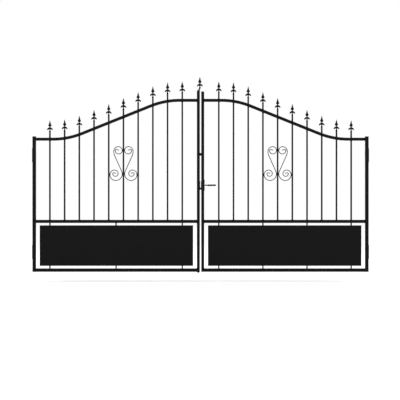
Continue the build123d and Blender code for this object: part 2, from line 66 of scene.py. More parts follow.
# ---- Sizes of the CAD model that its boxes don't give ------------------------------------
BARS_PER_LEAF = 10
BAR_SIZE = 16 * MM
SCROLL_BAR = 6                  # the bar that carries the scrolls, from the hinge side
SUPPORT_PLACES = {"left": (1, 5.5, 10), "right": (1, 4, 7, 10)}    # counted in bars
TOP_RAIL_SIZE = 30 * MM
SECTION_CORNER = 4 * MM         # outer corner radius of the hollow sections
KNUCKLE_HEIGHT = 60 * MM
KNUCKLE_WEB = 12 * MM
LUG_INNER = 30.5 * MM           # middle of a hinge bracket to a lug's inner side
LUG_THICKNESS = 8 * MM
LUG_WIDTH = 30 * MM
PLATE_THICKNESS = 6 * MM
GUIDE_HEIGHT = 30 * MM
BOSS_RADIUS = 9 * MM            # of the lever's boss

# ---- Where things are, read from the CAD model -------------------------------------------
GROUND_DROP = 0.1               # raised drop bolt's foot to the ground, just over its travel
RAY_START = 0.1                 # how far outside a node a ray starts


def middle(node):
    low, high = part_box(node)
    return (low + high) / 2


def joint_place(name):
    return Vector(next(joint["pos_m"] for joint in frame["joints"] if joint["name"] == name))


PLANE_Y = middle("left_bars").y          # the leaves' middle plane
LEVER = joint_place("lever_turn")
GROUND_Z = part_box("drop_bolt_rod")[0].z - GROUND_DROP


def bar_place(side, number):
    """Middle of a bar along X, counted from the hinge side; halves lie between bars."""
    low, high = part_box(f"{side}_bars")
    first, last = low.x + BAR_SIZE / 2, high.x - BAR_SIZE / 2
    if side == "right":
        first, last = last, first
    return first + (last - first) * (number - 1) / (BARS_PER_LEAF - 1)


def bar_places(side):
    return [bar_place(side, number) for number in range(1, BARS_PER_LEAF + 1)]


@functools.cache
def surface_tree(node):
    data = nodes[node].data
    return BVHTree.FromPolygons([v.co for v in data.vertices], [p.vertices for p in data.polygons])


def surface(node, origin, direction):
    """Where a ray first meets a CAD node."""
    place = surface_tree(node).ray_cast(Vector(origin), Vector(direction))[0]
    if place is None:
        raise ValueError(f"no surface of {node} that way")
    return place


# ---- Mesh helpers --------------------------------------------------------------------------
PLAIN_SHARP = 38                # degrees between faces, from which their edge is sharp
CAST_SHARP = 50
ALL_SMOOTH = 180


def new_piece(name, mesh, body, material, sharp=PLAIN_SHARP):
    """Finishes a bmesh as a piece that rides on a body."""
    bmesh.ops.recalc_face_normals(mesh, faces=mesh.faces)
    data = bpy.data.meshes.new(name)
    mesh.to_mesh(data)
    mesh.free()
    for face in data.polygons:
        face.use_smooth = True
    data.set_sharp_from_angle(angle=math.radians(sharp))
    piece = bpy.data.objects.new(name, data)
    bpy.context.scene.collection.objects.link(piece)
    piece.data.materials.append(material)
    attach(piece, body)
    return piece


def skin(mesh, rings, closed=False):
    """Quads between successive rings of points; closed joins the last to the first."""
    rings = [[mesh.verts.new(point) for point in ring] for ring in rings]
    count = len(rings[0])
    pairs = list(zip(rings, rings[1:]))
    if closed:
        pairs.append((rings[-1], rings[0]))
    else:
        mesh.faces.new(rings[0][::-1])
        mesh.faces.new(rings[-1])
    for near, far in pairs:
        for j in range(count):
            k = (j + 1) % count
            mesh.faces.new((near[j], near[k], far[k], far[j]))


def around(segments):
    """Angles of one full turn."""
    return [2 * math.pi * i / segments for i in range(segments)]


def polar(radius, angle, height=0.0):
    """The point at an angle about Z."""
    return Vector((radius * math.cos(angle), radius * math.sin(angle), height))


def lathe(mesh, profile, place, segments):
    """A solid turned about its own Z: profile is (radius, height) from end to end."""
    skin(mesh, [[place @ polar(r, a, h) for a in around(segments)] for r, h in profile])


def turned_ring(mesh, section, place, segments):
    """A ring about its own Z: section is its closed outline of (radius, height)."""
    rings = [[place @ polar(r, a, h) for r, h in section] for a in around(segments)]
    skin(mesh, rings, closed=True)


def arc(start, through, end, count):
    """Points of the circle through three points, from the first to the last."""
    (ax, ay), (bx, by), (cx, cy) = start, through, end
    d = 2 * (ax * (by - cy) + bx * (cy - ay) + cx * (ay - by))
    a2, b2, c2 = ax * ax + ay * ay, bx * bx + by * by, cx * cx + cy * cy
    ox = (a2 * (by - cy) + b2 * (cy - ay) + c2 * (ay - by)) / d
    oy = (a2 * (cx - bx) + b2 * (ax - cx) + c2 * (bx - ax)) / d
    radius = math.hypot(ax - ox, ay - oy)
    first, last = math.atan2(ay - oy, ax - ox), math.atan2(cy - oy, cx - ox)
    turn = (last - first + math.pi) % (2 * math.pi) - math.pi
    angles = [first + turn * i / count for i in range(count + 1)]
    return [(ox + radius * math.cos(a), oy + radius * math.sin(a)) for a in angles]


def loop(centre, across, up, half_across, half_up, corner, steps=4):
    """A rounded rectangle's outline in the plane of two directions."""
    points = []
    for quarter, (side_a, side_u) in enumerate(((1, 1), (-1, 1), (-1, -1), (1, -1))):
        for i in range(steps + 1):
            angle = math.pi / 2 * (quarter + i / steps)
            a = side_a * (half_across - corner) + corner * math.cos(angle)
            u = side_u * (half_up - corner) + corner * math.sin(angle)
            points.append(centre + a * across + u * up)
    return points


def resample(points, step, closed):
    """Evenly spaced points along a run of straight pieces."""
    line = points + points[:1] if closed else points
    reached = [0.0]
    for a, b in zip(line, line[1:]):
        reached.append(reached[-1] + (b - a).length)
    count = max(3, round(reached[-1] / step))
    made, piece = [], 0
    for i in range(count if closed else count + 1):
        along = reached[-1] * i / count
        while piece < len(line) - 2 and reached[piece + 1] < along:
            piece += 1
        share = (along - reached[piece]) / (reached[piece + 1] - reached[piece])
        made.append(line[piece].lerp(line[piece + 1], share))
    return made


# ---- Materials -----------------------------------------------------------------------------
WHITE = (1, 1, 1, 1)
NOISE_SPREAD = (0.3, 0.7)       # most of a noise's values lie between these
COAT_DARK = (0.0012, 0.0012, 0.0014)
POWDER = {"mottle": (9, 4), "pale": (0.0024, 0.0024, 0.0028), "gloss": (26, 6)}
# Bump layers of (scale, detail, height in millimetres, strength).
ORANGE_PEEL = (900, 1, 0.05, 0.35)
FINE_PEEL = (900, 1, 0.02, 0.35)
SHEET_WAVES = (2.4, 1, 1.2, 1.0)
ZINC_DARK, ZINC_PALE = (0.42, 0.43, 0.45), (0.62, 0.63, 0.64)
ZINC_ROUGH = (0.28, 0.42)
ZINC_CLOUDS = (120, 5)          # scale and detail
ZINC_LINES = (900, 3)
ZINC_STRETCH = (1, 1, 0.05)     # draws the lines out along Z
ZINC_BUMP = (0.03 * MM, 0.4)    # height, strength


def set_inputs(node, values):
    for name, value in values.items():
        node.inputs[name].default_value = value


class Nodes:
    """The node tree of a new material or world, with short calls."""

    def __init__(self, owner):
        owner.use_nodes = True
        self.tree = owner.node_tree

    def add(self, kind, **settings):
        node = self.tree.nodes.new(kind)
        for key, value in settings.items():
            setattr(node, key, value)
        return node

    def link(self, output, socket):
        self.tree.links.new(output, socket)

    @functools.cached_property
    def place(self):
        return self.add("ShaderNodeTexCoord").outputs["Object"]

    def stretched(self, scale):
        node = self.add("ShaderNodeMapping")
        set_inputs(node, {"Scale": scale})
        self.link(self.place, node.inputs["Vector"])
        return node.outputs["Vector"]

    def noise(self, scale, detail, place=None):
        node = self.add("ShaderNodeTexNoise")
        set_inputs(node, {"Scale": scale, "Detail": detail})
        self.link(place or self.place, node.inputs["Vector"])
        return node.outputs["Fac"]

    def ramp(self, value, start, end, low, high):
        """Runs from low, where the value is start, to high, where it is end."""
        node = self.add("ShaderNodeMapRange")
        set_inputs(node, {"From Min": start, "From Max": end, "To Min": low, "To Max": high})
        self.link(value, node.inputs["Value"])
        return node.outputs["Result"]

    def mix(self, share, first, second):
        node = self.add("ShaderNodeMix", data_type="RGBA")
        self.link(share, node.inputs["Factor"])
        set_inputs(node, {"A": (*first, 1), "B": (*second, 1)})
        return node.outputs["Result"]

    def maths(self, operation, first, second):
        node = self.add("ShaderNodeMath", operation=operation)
        self.link(first, node.inputs[0])
        self.link(second, node.inputs[1])
        return node.outputs[0]

    def bumps(self, *layers):
        """Stacks bump layers of (height, distance, strength) into one normal."""
        normal = None
        for height, distance, strength in layers:
            node = self.add("ShaderNodeBump")
            set_inputs(node, {"Strength": strength, "Distance": distance})
            self.link(height, node.inputs["Height"])
            if normal is not None:
                self.link(normal, node.inputs["Normal"])
            normal = node.outputs["Normal"]
        return normal

    def seen_directly(self):
        """1 for camera, glossy and transmission rays, else 0."""
        path = self.add("ShaderNodeLightPath").outputs
        seen = self.maths("MAXIMUM", path["Is Camera Ray"], path["Is Glossy Ray"])
        return self.maths("MAXIMUM", seen, path["Is Transmission Ray"])


def new_material(name, **constants):
    """A material, its nodes and its shader with the given constants."""
    material = bpy.data.materials.new(name)
    made = Nodes(material)
    shader = made.tree.nodes["Principled BSDF"]
    set_inputs(shader, {key.replace("_", " "): value for key, value in constants.items()})
    return material, made, shader


def coat(name, mottle, pale, gloss, rough, specular, bumps):
    """A black coat: mottle and gloss are the (scale, detail) of how its colour and gloss vary."""
    material, made, shader = new_material(name, Specular_IOR_Level=specular)
    made.link(made.mix(made.noise(*mottle), COAT_DARK, pale), shader.inputs["Base Color"])
    made.link(made.ramp(made.noise(*gloss), *NOISE_SPREAD, *rough), shader.inputs["Roughness"])
    layers = [(made.noise(scale, detail), h * MM, strength) for scale, detail, h, strength in bumps]
    made.link(made.bumps(*layers), shader.inputs["Normal"])
    return material


def zinc_plate(name):
    """Zinc-plated steel with fine drawn lines."""
    material, made, shader = new_material(name, Metallic=1.0)
    lines = made.noise(*ZINC_LINES, place=made.stretched(ZINC_STRETCH))
    made.link(made.mix(made.noise(*ZINC_CLOUDS), ZINC_DARK, ZINC_PALE), shader.inputs["Base Color"])
    made.link(made.ramp(lines, *NOISE_SPREAD, *ZINC_ROUGH), shader.inputs["Roughness"])
    made.link(made.bumps((lines, *ZINC_BUMP)), shader.inputs["Normal"])
    return material


BLACK = coat("black_powder_coat", **POWDER, rough=(0.40, 0.52), specular=0.09, bumps=[ORANGE_PEEL])
SHEET = coat("black_sheet_coat", **POWDER, rough=(0.42, 0.54), specular=0.09,
             bumps=[SHEET_WAVES, ORANGE_PEEL])
HARDWARE = coat("black_hardware_coat", **POWDER, rough=(0.26, 0.36), specular=0.14,
                bumps=[FINE_PEEL])
CASTING = coat("black_casting_coat", mottle=(60, 4), pale=(0.0028, 0.0028, 0.0031),
               gloss=(140, 5), rough=(0.44, 0.62), specular=0.09,
               bumps=[(420, 3, 0.35, 0.35), (1500, 1, 0.08, 0.3)])
WELD = coat("black_weld_coat", mottle=(200, 4), pale=(0.0027, 0.0027, 0.0030),
            gloss=(300, 4), rough=(0.34, 0.50), specular=0.10, bumps=[(1200, 2, 0.1, 0.3)])
ZINC = zinc_plate("zinc_plate")

SLOT_MATERIALS = {
    "black_powder_coat": BLACK,
    "black_casting": CASTING,
    "black_sheet": SHEET,
    "black_hardware": HARDWARE,
    "zinc_steel": ZINC,
}


# ---- Weld beads ----------------------------------------------------------------------------
FILLET = 2.7 * MM               # bead on bars and rails
SMALL_FILLET = 1.8 * MM         # bead on thin stock and castings
HEAVY_FILLET = 3.2 * MM         # bead on hinges
STITCH = 22 * MM                # length of the welds that hold a panel
STITCH_PITCH = 85 * MM
TACK = 15 * MM                  # length of the welds on the scrolls
BAR_CORNER = 1 * MM             # a bead turns this closely round a bar
RAIL_PROBE = 1.5 * MM           # beside a bar, where its rail's surface is measured
KNUCKLE_INSET = 2 * MM          # a knuckle's end to its bead
TOUCH_DEPTH = 0.45 * MM         # scroll points this near a bar's face touch it
TOUCH_SPACING = 20 * MM         # those further apart belong to another touch

BEAD_STEP = 0.9 * MM
BEAD_SIDES = 8
RIPPLE_PITCH = 3.8 * MM
RIPPLE_PITCH_SPREAD = (0.85, 1.15)        # from bead to bead
RIPPLE_DEPTH = (0.22, 0.32)               # in shares of the radius
RIPPLE_SHAPE = 0.7                        # under 1, ripples have round tops and narrow valleys
VALLEY = 0.80                             # size between ripples, in shares of the radius
SWAY_START = (0, 6.3)                     # radians, where its unevenness starts
END_SIZE, END_GROWTH = 0.55, 0.25         # at the very end, and then with each step
# What a hand leaves uneven: its amount, and its radians for each step.
UNEVEN_PITCH = (0.1, 0.13)
UNEVEN_SIZE = (0.06, 0.21)
UNEVEN_COURSE = (0.12, 0.17)


def uneven(amount_and_rate, step, start):
    amount, rate = amount_and_rate
    return amount * math.sin(rate * step + start)


def bead(mesh, points, radius, normal, closed=False):
    """A rippled weld bead along a path that lies square to the normal."""
    path = resample(points, BEAD_STEP, closed)
    last = len(path) - 1
    pitch = RIPPLE_PITCH * draw.uniform(*RIPPLE_PITCH_SPREAD)
    phase, sway, depth = draw.random(), draw.uniform(*SWAY_START), draw.uniform(*RIPPLE_DEPTH)
    rings = []
    for i, point in enumerate(path):
        before = path[i - 1] if closed or i else point
        after = path[(i + 1) % len(path)] if closed or i < last else point
        side = (after - before).normalized().cross(normal)
        ripple = (i * BEAD_STEP / pitch + phase + uneven(UNEVEN_PITCH, i, sway)) % 1
        height = depth * math.sin(math.pi * ripple) ** RIPPLE_SHAPE
        size = radius * (VALLEY + height + uneven(UNEVEN_SIZE, i, sway))
        if not closed:
            size *= min(1, END_SIZE + END_GROWTH * min(i, last - i))
        shift = radius * uneven(UNEVEN_COURSE, i, 2 * sway)
        rings.append([
            point + (size * math.cos(a) + shift) * side + size * math.sin(a) * normal
            for a in around(BEAD_SIDES)
        ])
    skin(mesh, rings, closed)


def bead_round_bar(mesh, x, z, half, radius):
    """A level bead round an upright square bar."""
    outline = loop(Vector((x, PLANE_Y, z)), X, Y, half, half, BAR_CORNER)
    bead(mesh, outline, radius, Z, closed=True)


def upright_bead(mesh, centre, length, radius, normal):
    bead(mesh, [centre - length / 2 * Z, centre + length / 2 * Z], radius, normal)


def new_weld(name, mesh, body):
    new_piece(name, mesh, body, WELD, sharp=ALL_SMOOTH)


def rail_beside_bar(side, x, up):
    """The top rail's surface at a bar, from above or below: its middle and slope."""
    reach = BAR_SIZE / 2 + RAIL_PROBE
    rail = f"{side}_top_rail"
    low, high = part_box(rail)
    start = high.z + RAY_START if up > 0 else low.z - RAY_START
    left, right = (surface(rail, (x + dx, PLANE_Y, start), -up * Z) for dx in (-reach, reach))
    return (left + right) / 2, (right.z - left.z) / (2 * reach)


def bar_welds(side):
    """Beads round every bar: on the mid rail, over and under the top rail, under its head."""
    mesh = bmesh.new()
    half = BAR_SIZE / 2
    mid_rail_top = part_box(f"{side}_mid_rail")[1].z
    for x in bar_places(side):
        bead_round_bar(mesh, x, mid_rail_top, half, FILLET)
        for up in (1, -1):
            place, slope = rail_beside_bar(side, x, up)
            across = Vector((1, 0, slope))
            outline = loop(place, across, Y, half, half, BAR_CORNER)
            bead(mesh, outline, FILLET, across.cross(Y).normalized(), closed=True)
        bead_round_bar(mesh, x, head_foot(side, x), half, SMALL_FILLET)
    new_weld(f"{side}_bar_welds", mesh, f"{side}_leaf")


def frame_welds(side):
    """Beads round both ends of the three rails."""
    mesh = bmesh.new()
    for rail in ("top", "mid", "bottom"):
        low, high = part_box(f"{side}_{rail}_rail")
        half_depth = (high.y - low.y) / 2
        half = TOP_RAIL_SIZE / 2 if rail == "top" else (high.z - low.z) / 2
        heights = (low.z + half, high.z - half)          # at the hinge side, at the closing side
        ends = (low.x, high.x) if side == "left" else (high.x, low.x)
        for x, z in zip(ends, heights):
            outline = loop(Vector((x, PLANE_Y, z)), Y, Z, half_depth, half, SECTION_CORNER)
            bead(mesh, outline, FILLET, X, closed=True)
    new_weld(f"{side}_frame_welds", mesh, f"{side}_leaf")


def panel_welds(side):
    """Beads round the supports' ends, and stitches that hold the sheet to them."""
    mesh = bmesh.new()
    low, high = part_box(f"{side}_panel_supports")
    sheet_low, sheet_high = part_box(f"{side}_panel")
    half = (high.y - low.y) / 2
    rows = math.floor((sheet_high.z - sheet_low.z) / STITCH_PITCH)
    margin = (sheet_high.z - sheet_low.z - (rows - 1) * STITCH_PITCH) / 2
    for number in SUPPORT_PLACES[side]:
        x = bar_place(side, number)
        for z in (low.z, high.z):
            bead_round_bar(mesh, x, z, half, SMALL_FILLET)
        for row in range(rows):
            z = sheet_low.z + margin + row * STITCH_PITCH
            corner = Vector((x + half * (-1) ** row, sheet_high.y, z))
            upright_bead(mesh, corner, STITCH, SMALL_FILLET, X)
    new_weld(f"{side}_panel_welds", mesh, f"{side}_leaf")


def touching_heights(side, x):
    """Heights where the scrolls touch a bar's face at x."""
    points = [v.co for v in nodes[f"{side}_scrolls"].data.vertices]
    near = sorted(point.z for point in points if abs(point.x - x) < TOUCH_DEPTH)
    groups = [[near[0]]]
    for z in near[1:]:
        if z - groups[-1][-1] > TOUCH_SPACING:
            groups.append([])
        groups[-1].append(z)
    return [(group[0] + group[-1]) / 2 for group in groups]


def scroll_welds(side):
    """Short beads, front and rear, where the scrolls touch the bars."""
    mesh = bmesh.new()
    low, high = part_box(f"{side}_scrolls")
    own = bar_place(side, SCROLL_BAR)
    pitch = abs(bar_place(side, 2) - bar_place(side, 1))
    faces = [own + side_x * BAR_SIZE / 2 for side_x in (-1, 1)]
    faces += [own + side_x * (pitch - BAR_SIZE / 2) for side_x in (-1, 1)]
    for face in faces:
        for z in touching_heights(side, face):
            for y in (low.y, high.y):
                upright_bead(mesh, Vector((face, y, z)), TACK, SMALL_FILLET, Y)
    new_weld(f"{side}_scroll_welds", mesh, f"{side}_leaf")


def stop_and_guide_beads(mesh):
    """Beads on the left leaf's closing stile: round the stop, above and below each guide."""
    stile_low, stile_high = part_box("left_closing_stile")
    low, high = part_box("closing_stop")
    flat_end = stile_high.x - SECTION_CORNER
    outline = [(flat_end, high.z), (low.x, high.z), (low.x, low.z), (flat_end, low.z)]
    bead(mesh, [Vector((x, stile_low.y, z)) for x, z in outline], SMALL_FILLET, Y)
    low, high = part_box("drop_bolt_guides")
    ends = (low.x + SECTION_CORNER, high.x - SECTION_CORNER)
    for z in (low.z, low.z + GUIDE_HEIGHT, high.z - GUIDE_HEIGHT, high.z):
        bead(mesh, [Vector((x, stile_high.y, z)) for x in ends], FILLET, Y)


def fitting_welds(side):
    """Beads beside the knuckles' webs, and on the left leaf at its stop and guides."""
    mesh = bmesh.new()
    stile_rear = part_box(f"{side}_hinge_stile")[1].y
    low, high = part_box(f"{side}_hinge_knuckles")
    pin = joint_place(f"{side}_leaf_swing")
    length = KNUCKLE_HEIGHT - 2 * KNUCKLE_INSET
    for z in (low.z + KNUCKLE_HEIGHT / 2, high.z - KNUCKLE_HEIGHT / 2):
        for side_x in (-1, 1):
            beside = Vector((pin.x + side_x * KNUCKLE_WEB / 2, stile_rear, z))
            upright_bead(mesh, beside, length, HEAVY_FILLET, X)
    if side == "left":
        stop_and_guide_beads(mesh)
    new_weld(f"{side}_fitting_welds", mesh, f"{side}_leaf")


def bracket_welds(side):
    """Beads round the outer sides of the hinge brackets' lugs."""
    mesh = bmesh.new()
    pin = joint_place(f"{side}_leaf_swing")
    near, far = pin.y - LUG_WIDTH / 2, pin.y + LUG_WIDTH / 2
    for level in ("lower", "upper"):
        low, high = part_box(f"{side}_{level}_hinge_bracket")
        plate_x = low.x + PLATE_THICKNESS if side == "left" else high.x - PLATE_THICKNESS
        for up in (-1, 1):
            inner = (low.z + high.z) / 2 + up * LUG_INNER
            outer = inner + up * LUG_THICKNESS
            outline = [(near, inner), (near, outer), (far, outer), (far, inner)]
            bead(mesh, [Vector((plate_x, y, z)) for y, z in outline], FILLET, X)
    new_weld(f"{side}_bracket_welds", mesh, "hinge_brackets")


# ---- Cast spearheads -----------------------------------------------------------------------
HEAD_HEIGHT = 116 * MM
HEAD_SIDES = 28
COLLAR_HALF = 9 * MM
COLLAR_HEIGHT = 8 * MM
COLLAR_EDGE = 0.8 * MM
COLLAR_CORNER = 1.2 * MM
STEM_RADIUS = 6.0 * MM
STEM_FLARE = ((7.6, -0.8), (7.2, 0.9), (6.3, 2.6))    # millimetres: radius, height on the collar
STEM_STRAIGHT = 4.5 * MM        # above the collar, where the flare has run out
BULB_MIDDLE = 65 * MM
BULB_RADIUS = 16.5 * MM
BULB_HALF_HEIGHT = 13 * MM
BULB_LIP = 0.3 * MM             # the bulb's ends beyond the stem and the blade
BULB_GAP = 1.5 * MM             # stem's end to the bulb; a short cone softens the corner
BULB_END, BLADE_START = -0.6 * MM, 0.8 * MM          # on either side of the crease there
BLADE_ROOT = 10.2 * MM
BLADE_MIDDLE = 5.8 * MM         # radius halfway up the blade
TIP_SHOULDER = (1.0 * MM, 0.5 * MM)                  # radius, and how far below the tip
TIP_RADIUS = 0.5 * MM
BULB_STEPS, BLADE_STEPS = 18, 12

WING_THICKNESS = 11 * MM
WING_UPPER = ((0, 46), (19, 39), (28.5, 27))  # three points of each edge's arc, in millimetres
WING_LOWER = ((0, 24), (13, 22.9), (20.5, 18))
WING_END = 4.6 * MM                           # how far the rounded end stands out
WING_STEPS, WING_END_STEPS = 14, 7
WING_END_TURN = math.pi / 2 / 7.3             # of each step; the last stops short of a point
WING_SIDES = 16
WING_SQUARENESS = 0.75                        # 1 gives an oval section, less a squarer one

SPEAR_STEM_STEPS, SPEAR_STEM_SIDES = 28, 28
SPEAR_STEM_OVERLAP = 2 * MM                   # into the head's collar
SPEAR_FOOT_PROBE = 1 * MM                     # above its foot, where its stem is measured
SPEAR_WELD_STEPS = 8                          # in each quarter


def head_foot(side, x):
    """Height of a spearhead's foot, from where its tip is."""
    heads = f"{side}_spearheads"
    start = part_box(heads)[1].z + RAY_START
    return surface(heads, (x, PLANE_Y, start), -Z).z - HEAD_HEIGHT


def squared(value):
    """Presses a circle's coordinate out towards a square."""
    return math.copysign(abs(value) ** WING_SQUARENESS, value)


def wing(mesh, place, side):
    """One barb of the guard: a flattened, rounded arm that curves down to a blunt end."""
    upper, lower = (
        [Vector((side * x * MM, 0, z * MM)) for x, z in arc(*edge, WING_STEPS)]
        for edge in (WING_UPPER, WING_LOWER)
    )
    sections = [((u + d) / 2, (u - d) / 2, 1.0) for u, d in zip(upper, lower)]
    centre, reach, _ = sections[-1]
    outward = Vector((side * reach.z, 0, -abs(reach.x))).normalized()
    for i in range(1, WING_END_STEPS + 1):
        turn = WING_END_TURN * i
        sections.append((centre + WING_END * math.sin(turn) * outward, reach, math.cos(turn)))
    half_thickness = WING_THICKNESS / 2 * Y
    rings = []
    for centre, reach, scale in sections:
        offsets = [
            squared(math.cos(a)) * reach + squared(math.sin(a)) * half_thickness
            for a in around(WING_SIDES)
        ]
        rings.append([place @ (centre + scale * offset) for offset in offsets])
    skin(mesh, rings)


def head_profile():
    """The turned part of a head above its collar: (radius, height) up to the tip."""
    bulb_low, bulb_high = BULB_MIDDLE - BULB_HALF_HEIGHT, BULB_MIDDLE + BULB_HALF_HEIGHT
    stem = [(radius * MM, COLLAR_HEIGHT + height * MM) for radius, height in STEM_FLARE]
    stem += [(STEM_RADIUS, COLLAR_HEIGHT + STEM_STRAIGHT), (STEM_RADIUS, bulb_low - BULB_GAP)]
    bulb = arc(
        (STEM_RADIUS + BULB_LIP, bulb_low),
        (BULB_RADIUS, BULB_MIDDLE),
        (BLADE_ROOT + BULB_LIP, bulb_high + BULB_END),
        BULB_STEPS,
    )
    shoulder_radius, shoulder_drop = TIP_SHOULDER
    blade = arc(
        (BLADE_ROOT, bulb_high + BLADE_START),
        (BLADE_MIDDLE, (bulb_high + HEAD_HEIGHT) / 2),
        (shoulder_radius, HEAD_HEIGHT - shoulder_drop),
        BLADE_STEPS,
    )
    return stem + bulb + blade + [(TIP_RADIUS, HEAD_HEIGHT)]


def spearhead(mesh, place):
    """A head on its square collar, in the shape that the CAD model gives it."""
    collar = [
        (COLLAR_HALF - COLLAR_EDGE, 0),
        (COLLAR_HALF, COLLAR_EDGE),
        (COLLAR_HALF, COLLAR_HEIGHT - COLLAR_EDGE),
        (COLLAR_HALF - COLLAR_EDGE, COLLAR_HEIGHT),
    ]
    skin(mesh, [loop(place @ (h * Z), X, Y, half, half, COLLAR_CORNER) for half, h in collar])
    lathe(mesh, head_profile(), place, HEAD_SIDES)
    wing(mesh, place, 1)
    wing(mesh, place, -1)


def spearheads(side):
    mesh = bmesh.new()
    for x in bar_places(side):
        spearhead(mesh, Matrix.Translation((x, PLANE_Y, head_foot(side, x))))
    piece = new_piece(
        f"{side}_cast_heads", mesh, f"{side}_leaf", CASTING, sharp=CAST_SHARP
    )
    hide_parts(f"{side}_spearheads")


def centre_spear():
    """The tall spear: its cranked stem, its head, and the bead round its foot."""
    low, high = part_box("centre_spear")
    probe = low.z + SPEAR_FOOT_PROBE
    left = surface("centre_spear", (low.x - RAY_START, PLANE_Y, probe), X)
    right = surface("centre_spear", (high.x + RAY_START, PLANE_Y, probe), -X)
    foot = (left + right) / 2
    radius = (right.x - left.x) / 2
    head = Vector(((low.x + high.x) / 2, PLANE_Y, high.z - HEAD_HEIGHT))
    stem_height = head.z + SPEAR_STEM_OVERLAP - low.z
    rings = []
    for i in range(SPEAR_STEM_STEPS + 1):
        share = i / SPEAR_STEM_STEPS
        x = foot.x + (head.x - foot.x) * (1 - math.cos(math.pi * share)) / 2
        centre = Vector((x, PLANE_Y, low.z + stem_height * share))
        rings.append([centre + polar(radius, a) for a in around(SPEAR_STEM_SIDES)])
    mesh = bmesh.new()
    skin(mesh, rings)
    spearhead(mesh, Matrix.Translation(head))
    piece = new_piece(
        "centre_cast_spear", mesh, "left_leaf", CASTING, sharp=CAST_SHARP
    )
    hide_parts("centre_spear")
    mesh = bmesh.new()
    centre = Vector((foot.x, PLANE_Y, low.z))
    ring = loop(centre, X, Y, radius, radius, radius, steps=SPEAR_WELD_STEPS)
    bead(mesh, ring, FILLET, Z, closed=True)
    new_weld("centre_spear_weld", mesh, "left_leaf")


# ---- Lock furniture ------------------------------------------------------------------------
SCREW_DOME = ((1, 0), (1, 0.35), (0.88, 0.75), (0.66, 1))    # shares of its radius and height
RECESS_SIDES = 36
SOCKET = 0.34                   # half width across flats, in shares of the screw's radius
SOCKET_DEPTH = 0.8              # in shares of the screw's height
COVER_SCREW = (3.7 * MM, 1.8 * MM)            # radius, height
COVER_SCREW_INSET = 7.5 * MM                  # escutcheon's end to its screw
PLATE_SCREW = (3.6 * MM, 0.9 * MM)
PLATE_SCREW_PLACES = (29 * MM, 77 * MM)       # above the plate's lower end, clear of the latch
KEY_RIM = ((4.9, 0), (4.9, 0.9), (4.5, 1.3))  # millimetres: radius, height
KEY_SLOT = (3.2 * MM, 0.8 * MM)               # half length, half width
KEY_SLOT_DEPTH = 1.2 * MM
# The ring's section in millimetres: beyond the lever's boss, height on the cover.
RING_SECTION = ((0.4, 0), (3.4, 0), (3.4, 0.9), (2.7, 1.6), (0.9, 1.6), (0.4, 1.1))
RING_SIDES = 40
TINY = 1e-6


def facing(place, direction):
    """A placing matrix whose Z looks along the direction."""
    turn = Vector(direction).to_track_quat("Z", "Y").to_matrix().to_4x4()
    return Matrix.Translation(place) @ turn


def hexagon_radius(angle, half_width):
    return half_width / math.cos((angle % (math.pi / 3)) - math.pi / 6)


def key_slot_radius(angle):
    half_length, half_width = KEY_SLOT
    along, across = abs(math.cos(angle)), abs(math.sin(angle))
    return min(half_length / max(along, TINY), half_width / max(across, TINY))


def recessed(mesh, place, rim, recess, depth):
    """A turned face with a hole in it: rim is (radius, height) up to the hole.

    recess gives the hole's radius at an angle.
    """
    angles = around(RECESS_SIDES)
    top = rim[-1][1]
    rings = [[place @ polar(r, a, h) for a in angles] for r, h in rim]
    rings += [[place @ polar(recess(a), a, h) for a in angles] for h in (top, top - depth)]
    skin(mesh, rings)


def screw(mesh, place, direction, size):
    """A domed socket screw."""
    radius, height = size
    rim = [(r * radius, h * height) for r, h in SCREW_DOME]
    socket = functools.partial(hexagon_radius, half_width=SOCKET * radius)
    recessed(mesh, facing(place, direction), rim, socket, SOCKET_DEPTH * height)


def cover_furniture():
    """Screws, key slots and rings on both of the lock's covers."""
    screws, keys, rings = bmesh.new(), bmesh.new(), bmesh.new()
    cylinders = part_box("key_cylinders")
    keyhole = middle("key_cylinders")
    key_rim = [(r * MM, h * MM) for r, h in KEY_RIM]
    section = [(BOSS_RADIUS + beyond * MM, h * MM) for beyond, h in RING_SECTION]
    for cover, end, out in (("front_escutcheon", 0, -Y), ("rear_escutcheon", 1, Y)):
        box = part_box(cover)
        face = box[end].y
        for z in (box[0].z + COVER_SCREW_INSET, box[1].z - COVER_SCREW_INSET):
            screw(screws, (LEVER.x, face, z), out, COVER_SCREW)
        key_face = facing((keyhole.x, cylinders[end].y, keyhole.z), out)
        recessed(keys, key_face, key_rim, key_slot_radius, KEY_SLOT_DEPTH)
        turned_ring(rings, section, facing((LEVER.x, face, LEVER.z), out), RING_SIDES)
    new_piece("escutcheon_screws", screws, "right_leaf", HARDWARE)
    new_piece("key_slots", keys, "right_leaf", HARDWARE)
    new_piece("lever_rings", rings, "right_leaf", HARDWARE)


def plate_screws():
    """Screws on the two plates in the gap between the leaves."""
    for plate, body, end, out in (
        ("strike_plate", "left_leaf", 1, X),
        ("lock_faceplate", "right_leaf", 0, -X),
    ):
        mesh = bmesh.new()
        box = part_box(plate)
        for height in PLATE_SCREW_PLACES:
            screw(mesh, (box[end].x, PLANE_Y, box[0].z + height), out, PLATE_SCREW)
        new_piece(f"{plate}_screws", mesh, body, HARDWARE)


# ---- CAD nodes -----------------------------------------------------------------------------
ARRIS = {
    "black_powder_coat": 0.8 * MM,
    "black_sheet": 0.5 * MM,
    "black_hardware": 0.6 * MM,
    "zinc_steel": 0.4 * MM,
}
ARRIS_ANGLE = 40                # degrees; flatter edges stay as they are
MERGE_DISTANCE = 0.01 * MM


